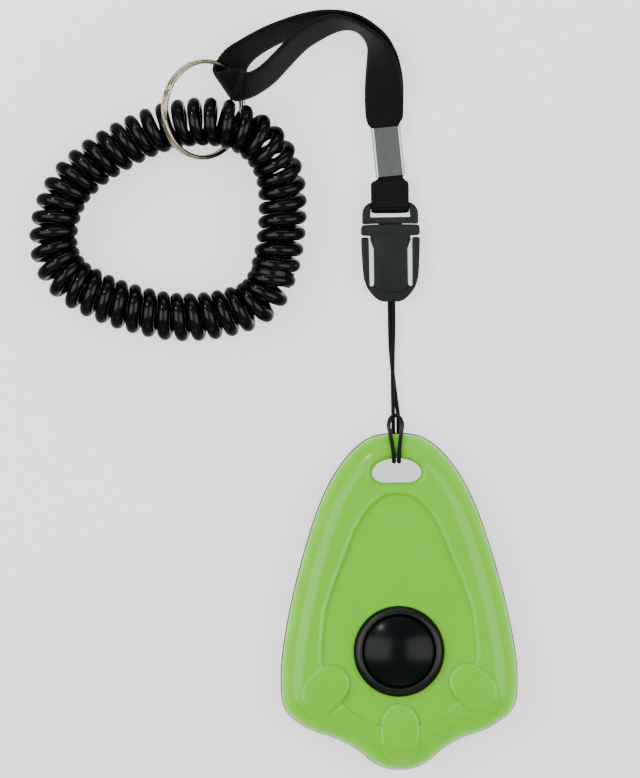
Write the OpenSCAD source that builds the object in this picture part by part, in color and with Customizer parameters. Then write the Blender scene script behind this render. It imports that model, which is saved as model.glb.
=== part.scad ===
// Clicker trainer: a sprung-steel noise maker in a two-part plastic case, on a wrist lanyard
// with a squeeze-release buckle, a webbing strap, a split ring and a coiled wrist cord.
// Frame: origin at the middle of the case's back, +Z out of the front, +Y towards the lanyard.

/* [Case] */
// Height of the joint line between the back and the front shell
split_z = 6; // [5.8:0.1:6.2]
// Height of the front shell's crown
crown_z = 15; // [14.8:0.1:15.2]
// Wall thickness of both shells
wall = 1.6; // [1.5:0.1:1.8]
// How far the back shell's edge shows round the front shell
back_reveal = 0.25; // [0.2:0.05:0.3]
// Depth of the shield-shaped panel below the crown
panel_depth = 0.7; // [0.5:0.1:0.9]
// Width of the lanyard eye
eye_w = 11.8; // [11:0.1:12]
// Case screw thread diameter
screw_d = 2; // [1.8:0.1:2.2]

/* [Button] */
// Diameter of the button's cylindrical skirt
button_d = 17.6; // [17:0.1:18]
// Radial running clearance between button and collar
button_gap = 0.06; // [0.05:0.01:0.1]
// Outer diameter of the collar's flange
collar_d = 21.8; // [21.6:0.1:22.4]
// Thickness of the spring steel click plate
plate_t = 0.35; // [0.3:0.05:0.4]

/* [Lanyard] */
// Diameter of the thin cord
cord_d = 1; // [0.9:0.05:1]
// Width of the webbing
strap_w = 9.2; // [9:0.1:9.4]
// Thickness of the webbing
strap_t = 1.1; // [1:0.05:1.1]
// Outer diameter of the split ring
ring_d = 24.2; // [24:0.1:24.6]
// Outer diameter of the wrist coil
coil_d = 11.8; // [11.4:0.1:11.8]

/* [Buckle] */
// Width of the socket's crossbar
buckle_w = 14.2; // [14:0.1:14.4]
// Thickness of the buckle
buckle_t = 4.4; // [4.2:0.1:4.4]
// Width of the socket's sleeve
sleeve_w = 8.2; // [8.1:0.1:8.3]

/* [Hidden] */
$fn = 64;
eps = 0.01;

// Right half of the case's outline, from the top round to the bottom
OUTLINE = [
    [0, 40.2], [6, 39.3], [11, 35.6], [15.4, 29.6], [19, 22], [22.3, 12], [25.4, 0.5],
    [27.6, -11], [28.2, -19], [27.2, -25.6], [22, -30], [14.5, -32.8], [9.6, -35.7],
    [6.9, -38], [3.6, -39.7], [0, -40.2]
];
// Right half of the recessed panel, which is an arc round the button below
PANEL = [
    [0, 26], [2.6, 25.7], [5, 24.3], [7.6, 21.6], [10.2, 17.2], [12.7, 11], [15.2, 4.8],
    [17.6, -2.4]
];
button_y = -11.8;
panel_r = 18.5;
panel_z = crown_z - panel_depth;
outline_steps = 3;

// Lanyard eye: a D lying on its straight side
eye_low = 28.5;
eye_high = 34.4;
eye_wall = 1.4;

// Toe pads: [centre x, centre y, long half axis, short half axis, tilt of the long axis]
PADS = [[-17.9, -20.9, 6.7, 4.9, 46], [17.9, -20.9, 6.7, 4.9, -46], [0, -31.3, 4.8, 7, 0]];
pad_z = crown_z + 0.6;

// Inside the case
floor_z = 1.8;
lip_h = 1.2;
boss_r = 3.1;
SCREWS = [[-19, -15], [19, -15], [0, 21.5]];
screw_head_r = 2;
screw_head_h = 1.3;
screw_top = 11;
cord_notch_z = 1.8;
cord_notch_w = 6;
channel_roof = 1.2;
channel_l = 4.2;

// Button and its collar
button_r = button_d / 2;
collar_bore_r = button_r + button_gap;
collar_body_r = 10.3;
collar_low = 9.2;
flange_h = 0.8;
flange_top = collar_low - 0.2;
dome_z = 18;

// Click plate: a strip held behind the button and pushed down by the button's stem
plate_z = 6;
plate_w = 10;
pivot_y = 2;
plate_back = 8;
plate_front = -21;
dimple_h = 0.5;
dimple_r = 3;
clamp_w = 13;
clamp_low = 2.2;
clamp_h = 1.2;
clamp_screw_x = 4;
clamp_screw_y = 5.9;
clamp_screw_r = 0.9;
root_gap = 0.1;

// Buckle, laid out about its own centre line
buckle_x = -0.7;
buckle_low = 0.2;
buckle_mid = buckle_low + buckle_t / 2;
sleeve_low = 74.4;
bar_low = 88;
bar_high = 90.3;
loop_low = 90.9;
loop_high = 95.9;
loop_w = 13.5;
slot_w = 9.6;
slot_low = 92.3;
slot_high = 94.6;
socket_w = 6.6;
socket_t = 2.4;
socket_floor = 79;
window_low = 82.6;
arm_pivot = [6, 76.4];
arm_pivot_r = 0.8;
tongue_w = 3.8;
tongue_low = 80.2;
tongue_foot = 1.6;
tongue_neck = 88.4;
tongue_t = 2.1;

// Barrel knot that joins the thin cord's two ends inside the buckle's sleeve
knot_r = 1.05;
knot_l = 3;
knot_y = 74.7;

// Crimp and webbing
crimp = [-1, 108];
crimp_tilt = 5;
crimp_w = 7.2;
crimp_l = 12;
crimp_high = 4.3;
crimp_sheet = 0.45;
pinched_w = 6;

// Split ring, resting on its right-hand edge and raised over the coil on its left
ring_at = [-45.2, 118.6, 9.3];
ring_lean = 8;
ring_tip = 37;
ring_wire = 1.1;

// Route of the thin cord: down from the knot, behind the case's top bar, up through the eye,
// over the front, across as the hitch's bight, and back the same way
CORD_DOWN = [
    [-1.1, 73.6, 2.3], [-1.1, 71.4, 2.2], [-1.1, 67, 1.3], [-1, 61, 0.7], [-0.5, 54.4, 0.6],
    [0.1, 49, 1], [0.4, 46.6, 2], [0.6, 44.4, 2.7], [0.6, 42.4, 2], [0.6, 40.8, 0.9],
    [0.6, 39, 0.75], [0.6, 36.4, 0.75], [0.6, 34.6, 1], [0.6, 33.8, 2], [0.6, 33.6, 5],
    [0.6, 33.6, 10], [0.6, 33.6, 14], [0.6, 34.2, 15.5], [0.7, 36.2, 15.6], [0.9, 38.4, 14.5],
    [1.2, 40.2, 12.7], [1.4, 41.2, 10.4], [1.5, 41.6, 8], [1.5, 42.8, 6], [1, 44, 4.6],
    [-0.1, 44.6, 4.2]
];
CORD_BACK = [
    [-1.2, 44, 4.6], [-1.7, 42.8, 6], [-1.7, 41.6, 8], [-1.6, 41.2, 10.4], [-1.4, 40.2, 12.7],
    [-1.1, 38.4, 14.5], [-0.8, 36.2, 15.6], [-0.6, 34.2, 15.5], [-0.6, 33.6, 14],
    [-0.6, 33.6, 10], [-0.6, 33.6, 5], [-0.6, 33.8, 2], [-0.6, 34.6, 1], [-0.6, 36.4, 0.75],
    [-0.6, 39, 0.75], [-0.6, 40.8, 0.9], [-0.6, 42.4, 2], [-0.6, 44.4, 2.7],
    [-0.6, 46.6, 2.4], [-0.6, 49, 1.9], [-0.6, 54.4, 1.7], [-0.4, 61, 1.3], [-0.2, 67, 1.6],
    [-0.2, 71.4, 2.2], [-0.2, 73.6, 2.3]
];

// Where the webbing folds round the split ring's wire: the wire's middle, the level direction
// into the ring, how far the fold's line leans up from level, the fold's middle radius, and
// how far each strand has slid along the fold's line
fold_at = [-38.3, 125.9, 4.8];
fold_in = [-0.83, -0.557, 0];
fold_lean = 27;
fold_r = 2.45;
fold_skew = 0.4;
fold_line = [fold_in[1] * cos(fold_lean), -fold_in[0] * cos(fold_lean), sin(fold_lean)];
fold_up = [-fold_in[1] * sin(fold_lean), fold_in[0] * sin(fold_lean), cos(fold_lean)];

// Routes of the two strands of webbing: [x, y, z, tilt of the width, width]
FRONT = [
    [-1.1, 109.5, 2.9, 0, 6], [-1.4, 113.4, 2.9, 0, 6], [-1.7, 115.6, 2.6, 0, 8.6],
    [-1.8, 118.6, 2.4, -3, 9.2], [-1.9, 122.4, 3.1, -12, 9.2], [-2.1, 126.4, 4.2, -28, 9.2],
    [-2.7, 130.8, 5.3, -48, 9.2], [-4, 134.4, 5.8, -66, 9.2], [-6.9, 137.4, 6.1, -78, 9.2],
    [-10.2, 138.8, 6.1, -74, 9.2], [-14, 138.8, 6.1, -64, 9.2], [-18, 137.2, 6.1, -60, 9.2],
    [-22, 134.6, 6.2, -60, 9.2], [-26, 130.6, 6.4, -60, 9.2], [-29.6, 127, 6.9, -58, 9.2],
    [-32.8, 124.9, 8.2, -55, 9.2], [-35.5, 124.2, 9, -44, 9.2],
    concat(fold_at + fold_r * fold_up - fold_skew * fold_line, [-fold_lean, 9.2])
];
REAR = [
    [-1.1, 109.5, 1.6, 0, 6], [-1.4, 113.4, 1.6, 0, 6], [-1.7, 115.6, 1.2, 0, 8.6],
    [-1.8, 118.6, 1.1, -3, 9.2], [-1.6, 122.4, 1.9, -12, 9.2], [-1.5, 126.5, 3.1, -28, 9.2],
    [-1.8, 131.1, 4.5, -48, 9.2], [-3, 135.1, 5.2, -66, 9.2], [-6.3, 138.6, 5.7, -76, 9.2],
    [-10, 139.9, 5.4, -71, 9.2], [-15, 140, 5.1, -64, 9.2], [-20, 139.2, 4.9, -61, 9.2],
    [-25, 137.7, 4.8, -60, 9.2], [-30, 135.6, 4.8, -58, 9.2], [-34.4, 133, 4.6, -54, 9.2],
    [-37.4, 130.4, 4.1, -42, 9.2],
    concat(fold_at - fold_r * fold_up + fold_skew * fold_line, [-fold_lean, 9.2])
];

// Route of the wrist coil's centre line, from one side of its joint round to the other
COIL = [
    [-28.2, 81.6, 5.9], [-27, 88, 5.9], [-26.5, 95, 6], [-27, 102, 6.8], [-29.4, 108, 8.4],
    [-34, 112.6, 10], [-40, 115.1, 10.1], [-46, 115.7, 8.9], [-52.6, 115, 7.2],
    [-59, 113, 6.2], [-66, 109.6, 5.9], [-72.6, 105.4, 5.9], [-78, 100, 5.9],
    [-81, 93, 5.9], [-81.4, 85, 5.9], [-78, 78.6, 5.9], [-71, 74.2, 5.9], [-63, 71.2, 5.9],
    [-54, 69.1, 5.9], [-46, 69, 5.9], [-39, 70.1, 5.9], [-33.4, 72.2, 5.9], [-30.2, 76, 5.9]
];
joint_at = [-29.2, 78.8, 5.9];
joint_turn = 16;

// One point on a smooth curve through b and c, at t from 0 to 1
function curve_point(a, b, c, d, t) =
    0.5 * (2 * b + (c - a) * t + (2 * a - 5 * b + 4 * c - d) * t * t
        + (3 * b - a - 3 * c + d) * t * t * t);

// A smooth open curve through points p, with n steps in each span
function open_curve(p, n) = let (last = len(p) - 1) [
    for (i = [0:last - 1], k = [0:n - 1])
        curve_point(p[max(i - 1, 0)], p[i], p[i + 1], p[min(i + 2, last)], k / n),
    p[last]
];

// A smooth closed curve through points p, with n steps in each span
function closed_curve(p, n) = let (m = len(p)) [
    for (i = [0:m - 1], k = [0:n - 1])
        curve_point(p[(i + m - 1) % m], p[i], p[(i + 1) % m], p[(i + 2) % m], k / n)
];

function mirrored(half) = concat(half, [for (i = [len(half) - 2:-1:1]) [-half[i][0], half[i][1]]]);
function unit(v) = v / norm(v);

// A closed outline moved inwards by d along its own normals
function inset(p, d) = let (m = len(p)) [
    for (i = [0:m - 1])
        let (along = unit(p[(i + 1) % m] - p[(i + m - 1) % m]))
            p[i] + d * [along[1], -along[0]]
];

function lifted(p, z) = [for (q = p) [q[0], q[1], z]];

CASE_LINE = closed_curve(mirrored(OUTLINE), outline_steps);
PANEL_LINE = concat(
    open_curve(PANEL, outline_steps),
    [for (a = [10:-10:-190]) [panel_r * cos(a), button_y + panel_r * sin(a)]],
    [for (i = [len(PANEL) - 1:-1:1]) [-PANEL[i][0], PANEL[i][1]]]
);

// A closed solid through rings of equal length, each turning clockwise seen from the last ring
module loft(rings) {
    m = len(rings[0]);
    k = len(rings);
    sides = [
        for (j = [0:k - 2], i = [0:m - 1])
            let (n = (i + 1) % m)
                each [
                    [j * m + i, j * m + n, (j + 1) * m + n],
                    [j * m + i, (j + 1) * m + n, (j + 1) * m + i]
                ]
    ];
    low = [[for (i = [m - 1:-1:0]) i]];
    high = [[for (i = [0:m - 1]) (k - 1) * m + i]];
    polyhedron([for (r = rings) each r], concat(low, sides, high), convexity = 10);
}

// A stack of case outlines: steps is a list of [inset, height]
module case_loft(steps) {
    loft([for (s = steps) lifted(inset(CASE_LINE, s[0]), s[1])]);
}

module eye_shape(grow) {
    half = eye_w / 2;
    shoulder = eye_low + 2.4;
    offset(grow)
        polygon([
            for (a = [0:12:180]) [half * cos(a), shoulder + (eye_high - shoulder) * sin(a)],
            for (a = [180:15:270])
                [-half + 3.2 + 3.2 * cos(a), shoulder + (shoulder - eye_low) * sin(a)],
            for (a = [270:15:345])
                [half - 3.2 + 3.2 * cos(a), shoulder + (shoulder - eye_low) * sin(a)]
        ]);
}

module eye_hole() {
    translate([0, 0, -1])
        linear_extrude(crown_z + 3)
            eye_shape(0);
}

module eye_tube(low, high) {
    translate([0, 0, low])
        linear_extrude(high - low)
            eye_shape(eye_wall);
}

module at_screws() {
    for (p = SCREWS)
        translate([p[0], p[1], 0])
            children();
}

// Black back shell, open to the front
module base_shell() {
    color([0.05, 0.05, 0.05])
        difference() {
            union() {
                difference() {
                    case_loft([
                        [2.2, 0], [0.9, 0.5], [0.1, 1.4], [-back_reveal, 2.4],
                        [-back_reveal, split_z - 0.05]
                    ]);
                    case_loft([[wall + 0.8, floor_z], [wall, floor_z + 0.8], [wall, split_z + 1]]);
                }
                difference() {
                    case_loft([
                        [wall - 0.3, split_z - 1.5], [wall - 0.3, split_z - 0.5],
                        [wall + 0.1, split_z - 0.1], [wall + 0.1, split_z + lip_h]
                    ]);
                    case_loft([[wall + 1, split_z - 2], [wall + 1, split_z + lip_h + 1]]);
                }
                eye_tube(0.6, split_z - 0.05);
                at_screws()
                    translate([0, 0, 0.8])
                        cylinder(r = boss_r, h = split_z - 0.85);
                // Roof over the cord's channel, from the eye to the case's wall
                translate([-cord_notch_w / 2 - channel_roof, eye_high + eye_wall / 2, cord_notch_z])
                    cube([cord_notch_w + 2 * channel_roof, channel_l, channel_roof]);
                // Block that carries the click plate
                translate([-clamp_w / 2, pivot_y + 0.4, 1])
                    cube([clamp_w, plate_back - pivot_y - 0.4, plate_z - 1]);
            }
            eye_hole();
            at_screws()
                translate([0, 0, -1]) {
                    cylinder(r = screw_d / 2 + 0.2, h = split_z + 2);
                    cylinder(r = screw_head_r + 0.3, h = 1 + screw_head_h + 0.2);
                }
            for (x = [-clamp_screw_x, clamp_screw_x])
                translate([x, clamp_screw_y, floor_z + 0.6])
                    cylinder(r = clamp_screw_r, h = 6);
            // Channel under the top bar, which the cord lies in
            translate([-cord_notch_w / 2, eye_high - 1, -1])
                cube([cord_notch_w, 8, cord_notch_z + 1]);
        }
}

// Green front shell with the panel and the moulded toe pads
module cover_shell() {
    color([0.49, 0.8, 0.25])
        difference() {
            union() {
                difference() {
                    case_loft([
                        [0, split_z], [0, crown_z - 6.4], [0.35, crown_z - 4.4],
                        [1.1, crown_z - 2.7], [2.3, crown_z - 1.4], [3.9, crown_z - 0.5],
                        [5.8, crown_z]
                    ]);
                    case_loft([
                        [wall, split_z - 1], [wall, crown_z - 6.4], [wall + 1.4, crown_z - 3.4],
                        [wall + 3.4, panel_z - wall]
                    ]);
                    translate([0, 0, panel_z])
                        linear_extrude(3)
                            polygon(PANEL_LINE);
                }
                for (p = PADS)
                    toe_pad(p);
                eye_tube(split_z, crown_z - 1.2);
                translate([0, button_y, collar_low + 1])
                    cylinder(r = collar_body_r + 1.6, h = panel_z - collar_low - 1 - eps);
                at_screws()
                    translate([0, 0, split_z])
                        cylinder(r = boss_r, h = panel_z - split_z - 0.5);
            }
            eye_hole();
            translate([0, button_y, split_z])
                cylinder(r = collar_body_r, h = crown_z);
            at_screws()
                translate([0, 0, split_z - 1])
                    cylinder(r = screw_d / 2, h = screw_top - split_z + 1);
        }
}

module toe_pad(p) {
    translate([p[0], p[1], panel_z - 0.6])
        rotate([0, 0, p[4]])
            linear_extrude(pad_z - panel_z + 0.6)
                polygon([for (a = [0:12:348]) [p[2] * cos(a), p[3] * sin(a)]]);
}

// Black collar that rings the button and guides it
module button_collar() {
    flange_r = collar_d / 2;
    color([0.04, 0.04, 0.04])
        translate([0, button_y, 0])
            rotate_extrude()
                polygon([
                    [collar_bore_r, collar_low], [collar_body_r, collar_low],
                    [collar_body_r, panel_z], [flange_r, panel_z], [flange_r, panel_z + 0.8],
                    [flange_r - 0.4, panel_z + 1.4], [flange_r - 1, panel_z + 1.7],
                    [collar_bore_r + 0.3, panel_z + 1.6], [collar_bore_r, panel_z + 1.3]
                ]);
}

// Black domed button with a retaining flange and the stem that pushes the click plate
module button_cap() {
    tip_r = 1.5;
    rim_z = panel_z + 1.2;
    skirt = 1.3;
    rise = dome_z - rim_z;
    dome_r = (button_r * button_r + rise * rise) / (2 * rise);
    color([0.02, 0.02, 0.02])
        translate([0, button_y, 0]) {
            difference() {
                union() {
                    translate([0, 0, flange_top - flange_h])
                        cylinder(r = button_r + 1, h = flange_h);
                    translate([0, 0, flange_top - eps])
                        cylinder(r = button_r, h = rim_z - flange_top);
                    intersection() {
                        translate([0, 0, dome_z - dome_r])
                            sphere(r = dome_r, $fn = 96);
                        translate([0, 0, rim_z - 0.1])
                            cylinder(r = button_r, h = rise + 1);
                    }
                }
                translate([0, 0, flange_top - flange_h - 1])
                    cylinder(r = button_r - skirt, h = rim_z - flange_top + flange_h);
            }
            stem_low = plate_z + plate_t + dimple_h + 0.05;
            translate([0, 0, stem_low + tip_r])
                cylinder(r = tip_r, h = rim_z - stem_low - tip_r);
            translate([0, 0, stem_low + tip_r])
                sphere(r = tip_r, $fn = 32);
        }
}

// Spring steel strip with the raised dimple that snaps; its round end is where it bends
module click_plate() {
    mid = plate_z + plate_t / 2;
    color([0.75, 0.76, 0.78]) {
        translate([-plate_w / 2, plate_front, plate_z])
            cube([plate_w, pivot_y - plate_front, plate_t]);
        translate([-plate_w / 2, pivot_y, mid])
            rotate([0, 90, 0])
                cylinder(r = plate_t / 2, h = plate_w, $fn = 24);
        translate([0, button_y, plate_z + plate_t - eps])
            rotate_extrude()
                polygon([
                    [0, 0], [dimple_r, 0], [dimple_r * 0.7, dimple_h * 0.6],
                    [dimple_r * 0.35, dimple_h], [0, dimple_h]
                ]);
    }
}

// Held end of the click plate's strip, screwed down under the clamp
module plate_root() {
    start = pivot_y + plate_t / 2 + root_gap;
    color([0.75, 0.76, 0.78])
        difference() {
            translate([-plate_w / 2, start, plate_z])
                cube([plate_w, plate_back - start - 0.2, plate_t]);
            for (x = [-clamp_screw_x, clamp_screw_x])
                translate([x, clamp_screw_y, plate_z - 1])
                    cylinder(r = clamp_screw_r + 0.3, h = 3);
        }
}

// Bar that holds the click plate's fixed end
module plate_clamp() {
    low = plate_z + plate_t + 0.05;
    color([0.6, 0.6, 0.62])
        difference() {
            translate([-clamp_w / 2, pivot_y + clamp_low, low])
                cube([clamp_w, plate_back - pivot_y - clamp_low, clamp_h]);
            for (x = [-clamp_screw_x, clamp_screw_x])
                translate([x, clamp_screw_y, low - 1])
                    cylinder(r = clamp_screw_r + 0.1, h = clamp_h + 2);
        }
}

module plate_screws() {
    low = floor_z + 0.6;
    head_z = plate_z + plate_t + 0.05 + clamp_h;
    color([0.7, 0.7, 0.72])
        for (x = [-clamp_screw_x, clamp_screw_x])
            translate([x, clamp_screw_y, 0]) {
                translate([0, 0, low])
                    cylinder(r = clamp_screw_r, h = head_z - low + eps);
                translate([0, 0, head_z])
                    cylinder(r1 = 1.7, r2 = 1.2, h = 0.9, $fn = 48);
            }
}

// Case screws, put in from the back
module case_screws() {
    head_z = 0.3;
    color([0.6, 0.6, 0.62])
        at_screws()
            difference() {
                union() {
                    translate([0, 0, head_z])
                        cylinder(r = screw_head_r, h = screw_head_h - 0.1);
                    translate([0, 0, head_z + screw_head_h - 0.2])
                        cylinder(r = screw_d / 2, h = screw_top - head_z - screw_head_h);
                }
                for (turn = [0, 90])
                    rotate([0, 0, turn])
                        translate([-1.3, -0.25, head_z - 1])
                            cube([2.6, 0.5, 1.6]);
            }
}

// Rings of a round tube along path p
function tube_rings(p, r, sides, closed = false) = let (m = len(p)) [
    for (i = [0:m - 1])
        let (
            before = closed ? p[(i + m - 1) % m] : p[max(i - 1, 0)],
            after = closed ? p[(i + 1) % m] : p[min(i + 1, m - 1)],
            along = unit(after - before),
            side = unit(cross([0.35, 0, 1], along)),
            up = cross(along, side)
        )
            [for (k = [0:sides - 1]) p[i] + r * (cos(-360 * k / sides) * side
                + sin(-360 * k / sides) * up)]
];

// Thin cord, doubled, hitched round the case's top bar
module cord_loop() {
    color([0.03, 0.03, 0.03])
        loft(tube_rings(concat(CORD_DOWN, CORD_BACK), cord_d / 2, 8));
}

// Knot that holds both ends of the cord inside the buckle
module cord_knot() {
    color([0.05, 0.05, 0.05])
        translate([buckle_x, knot_y, buckle_mid])
            rotate([0, 90, 0])
                cylinder(r = knot_r, h = knot_l, center = true, $fn = 32);
}

module in_buckle() {
    translate([buckle_x, 0, buckle_low])
        children();
}

// Lower half of the buckle: bottom, sleeve and crossbar, with the socket for the tongue
module buckle_socket() {
    half = sleeve_w / 2;
    bar = buckle_w / 2;
    color([0.16, 0.2, 0.2])
        in_buckle()
            difference() {
                union() {
                    linear_extrude(buckle_t - 0.6)
                        polygon([
                            [-2.4, 72], [2.4, 72], [3.6, 72.8], [4.9, 74.2], [5.9, 75.3],
                            [5.4, 76.9], [4.1, 76.9], [-4.1, 76.9], [-5.4, 76.9],
                            [-5.9, 75.3], [-4.9, 74.2], [-3.6, 72.8]
                        ]);
                    linear_extrude(buckle_t)
                        polygon([
                            [-2.6, sleeve_low], [2.6, sleeve_low], [half, sleeve_low + 1.4],
                            [half, bar_low], [bar - 0.4, bar_low], [bar, bar_low + 0.4],
                            [bar, bar_high - 0.3], [bar - 0.3, bar_high],
                            [0.3 - bar, bar_high], [-bar, bar_high - 0.3],
                            [-bar, bar_low + 0.4], [0.4 - bar, bar_low], [-half, bar_low],
                            [-half, sleeve_low + 1.4]
                        ]);
                }
                // Socket for the tongue, with a window each side for the prongs
                translate([-socket_w / 2, socket_floor, (buckle_t - socket_t) / 2])
                    cube([socket_w, bar_high - socket_floor + 1, socket_t]);
                translate([-half - 1, window_low, (buckle_t - socket_t) / 2])
                    cube([sleeve_w + 2, bar_low - window_low, socket_t]);
                // Seats that the arms turn in
                for (side = [-1, 1])
                    translate([side * arm_pivot[0], arm_pivot[1], -1])
                        cylinder(r = arm_pivot_r + 0.06, h = buckle_t + 2);
                // Pocket for the knot and the way out for the cord
                translate([-1.8, 73.4, buckle_mid - buckle_low - 1.3])
                    cube([3.6, 2.6, 2.6]);
                translate([-1.4, 70, buckle_mid - buckle_low - 0.9])
                    cube([2.8, 4, 1.8]);
            }
}

module release_arm() {
    linear_extrude(buckle_t - 0.6)
        polygon([
            [5.1, 77.6], [5.2, 87.1], [5.5, 87.5], [6.8, 87.5], [7.1, 87.1],
            [6.9, 81], [6.75, 78], [6.6, 76.6], [5.6, 76.6]
        ]);
    translate([arm_pivot[0], arm_pivot[1], 0])
        cylinder(r = arm_pivot_r, h = buckle_t - 0.6);
}

// Squeeze arms, which bend at their roots on the real buckle
module release_arm_left() {
    color([0.2, 0.25, 0.25])
        in_buckle()
            mirror([1, 0, 0])
                release_arm();
}

module release_arm_right() {
    color([0.2, 0.25, 0.25])
        in_buckle()
            release_arm();
}

// Upper half of the buckle: the strap's loop and the tongue
module buckle_loop() {
    half = loop_w / 2;
    low = (buckle_t - tongue_t) / 2;
    color([0.16, 0.2, 0.2])
        in_buckle() {
            difference() {
                translate([0, 0, 0.6])
                    linear_extrude(buckle_t - 1.2)
                        polygon([
                            [-half, loop_low], [half, loop_low], [half, 93],
                            [half - 0.5, 94.6], [half - 1.3, 95.5], [half - 2.2, loop_high],
                            [2.2 - half, loop_high], [1.3 - half, 95.5],
                            [0.5 - half, 94.6], [-half, 93]
                        ]);
                translate([-slot_w / 2, slot_low, -1])
                    cube([slot_w, slot_high - slot_low, buckle_t + 2]);
                // The bar that the webbing goes round is thinner
                for (z = [-1, buckle_t - low])
                    translate([-slot_w / 2, slot_high - 1, z])
                        cube([slot_w, 4, low + 1]);
            }
            translate([-tongue_w / 2, tongue_low, low])
                cube([tongue_w, loop_low - tongue_low + 0.5, tongue_t]);
            translate([-socket_w / 2 + 0.3, tongue_low, low])
                cube([socket_w - 0.6, tongue_foot, tongue_t]);
            translate([-socket_w / 2 + 0.3, tongue_neck, low])
                cube([socket_w - 0.6, loop_low - tongue_neck + 0.5, tongue_t]);
        }
}

// Springy barb on the tongue, whose flat end locks under the crossbar
module latch_prong() {
    translate([0, 0, (buckle_t - tongue_t) / 2])
        linear_extrude(tongue_t)
            polygon([[2.1, 81.8], [3, 81.8], [4.9, 86.9], [4.9, 87.7], [4, 87.7], [2.1, 83.2]]);
}

module latch_prong_left() {
    color([0.08, 0.1, 0.1])
        in_buckle()
            mirror([1, 0, 0])
                latch_prong();
}

module latch_prong_right() {
    color([0.08, 0.1, 0.1])
        in_buckle()
            latch_prong();
}

// One ring of webbing at point p, with its width w along across and its face along face
function ribbon_ring(p, across, face, w) = let (h = w / 2, t = strap_t / 2, bevel = 0.4) [
    for (q = [
        [-h, t - bevel], [bevel - h, t], [h - bevel, t], [h, t - bevel],
        [h, bevel - t], [h - bevel, -t], [bevel - h, -t], [-h, bevel - t]
    ])
        p + q[0] * across + q[1] * face
];

// Rings of webbing along rows of [x, y, z, tilt, width]; a negative tilt lifts the outer edge
function ribbon_rings(rows) = let (m = len(rows), p = [for (r = rows) [r[0], r[1], r[2]]]) [
    for (i = [0:m - 1])
        let (
            along = unit(p[min(i + 1, m - 1)] - p[max(i - 1, 0)]),
            right = unit([along[1], -along[0], 0]),
            tilt = rows[i][3],
            across = unit(cos(tilt) * right - sin(tilt) * [0, 0, 1])
        )
            ribbon_ring(p[i], across, unit(cross(across, along)), rows[i][4])
];

// The half turn round the split ring's wire, from its upper side to its lower side
FOLD_RINGS = [
    for (a = [90:-30:-90])
        let (out = cos(a) * fold_in + sin(a) * fold_up)
            ribbon_ring(fold_at + fold_r * out - fold_skew * sin(a) * fold_line, fold_line,
                out, strap_w)
];

module webbing(rings) {
    color([0.06, 0.06, 0.06])
        loft(rings);
}

// Short end of the webbing, folded round the buckle's bar
module strap_tab() {
    w = strap_w - 0.1;
    turn = 1.75;
    low = buckle_mid - turn;
    high = buckle_mid + turn;
    t = strap_t / 2;
    // Middle line of the fold, as [y, z], from the crimp round the bar and back
    fold = open_curve([
        [106, 1.45], [102.6, 1.4], [99.6, 0.9], [96, low], [94.9, low + 0.1], [94, low + 0.8],
        [93.8, buckle_mid], [94, high - 0.8], [94.9, high - 0.1], [96, high], [99.6, 3.6],
        [102.6, 2.95], [106, 2.9]
    ], 2);
    m = len(fold);
    rings = [
        for (i = [0:m - 1])
            let (
                along = unit(fold[min(i + 1, m - 1)] - fold[max(i - 1, 0)]),
                face = [along[1], -along[0]],
                y = fold[i][0],
                half = y > 101.5 ? pinched_w / 2 : y > 99 ? 3.8 : w / 2,
                x = y > 99 ? crimp[0] + 0.4 : buckle_x
            )
                [
                    for (q = [[-half, t], [half, t], [half, -t], [-half, -t]])
                        [x + q[0], y + q[1] * face[0], fold[i][1] + q[1] * face[1]]
                ]
    ];
    color([0.06, 0.06, 0.06])
        loft(rings);
}

// Folded steel sleeve that clamps the layers of webbing
module strap_crimp() {
    low = 0.25;
    color([0.7, 0.72, 0.72])
        translate([crimp[0], crimp[1], 0])
            rotate([0, 0, crimp_tilt])
                difference() {
                    translate([-crimp_w / 2, -crimp_l / 2, low])
                        cube([crimp_w, crimp_l, crimp_high - low]);
                    translate([-crimp_w / 2 + crimp_sheet, -crimp_l, low + crimp_sheet])
                        cube([
                            crimp_w - 2 * crimp_sheet, 2 * crimp_l,
                            crimp_high - low - 2 * crimp_sheet
                        ]);
                }
}

module strap_front() {
    strand = ribbon_rings(open_curve(FRONT, 2));
    webbing(concat([for (i = [0:len(strand) - 2]) strand[i]], FOLD_RINGS));
}

module strap_rear() {
    webbing(ribbon_rings(open_curve(REAR, 2)));
}

// Two-turn split ring
module split_ring() {
    wire_r = ring_wire / 2;
    color([0.72, 0.7, 0.66])
        translate(ring_at)
            rotate([0, 0, -ring_lean])
                rotate([0, ring_tip, 0])
                    rotate_extrude()
                        translate([ring_d / 2 - wire_r, 0])
                            square([ring_wire, 2], center = true);
}

// Outer shape of the coiled wrist cord
module wrist_coil() {
    color([0.03, 0.03, 0.04])
        loft(tube_rings(open_curve(COIL, 2), coil_d / 2, 12));
}

// Fused web between the two turns where the coil's ends are joined
module coil_joint() {
    color([0.08, 0.08, 0.08])
        translate(joint_at)
            rotate([0, 0, -joint_turn])
                rotate([90, 0, 0])
                    cylinder(r = coil_d / 2 - 0.6, h = 5.4, center = true);
}

base_shell();
cover_shell();
button_collar();
button_cap();
click_plate();
plate_root();
plate_clamp();
plate_screws();
case_screws();
cord_loop();
cord_knot();
buckle_socket();
release_arm_left();
release_arm_right();
buckle_loop();
latch_prong_left();
latch_prong_right();
strap_tab();
strap_crimp();
strap_front();
strap_rear();
split_ring();
wrist_coil();
coil_joint();
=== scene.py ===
"""Clicker trainer on a wrist lanyard: the looks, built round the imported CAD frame."""

import math

import bmesh
import bpy
import numpy as np
from mathutils import Matrix, Vector


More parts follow.
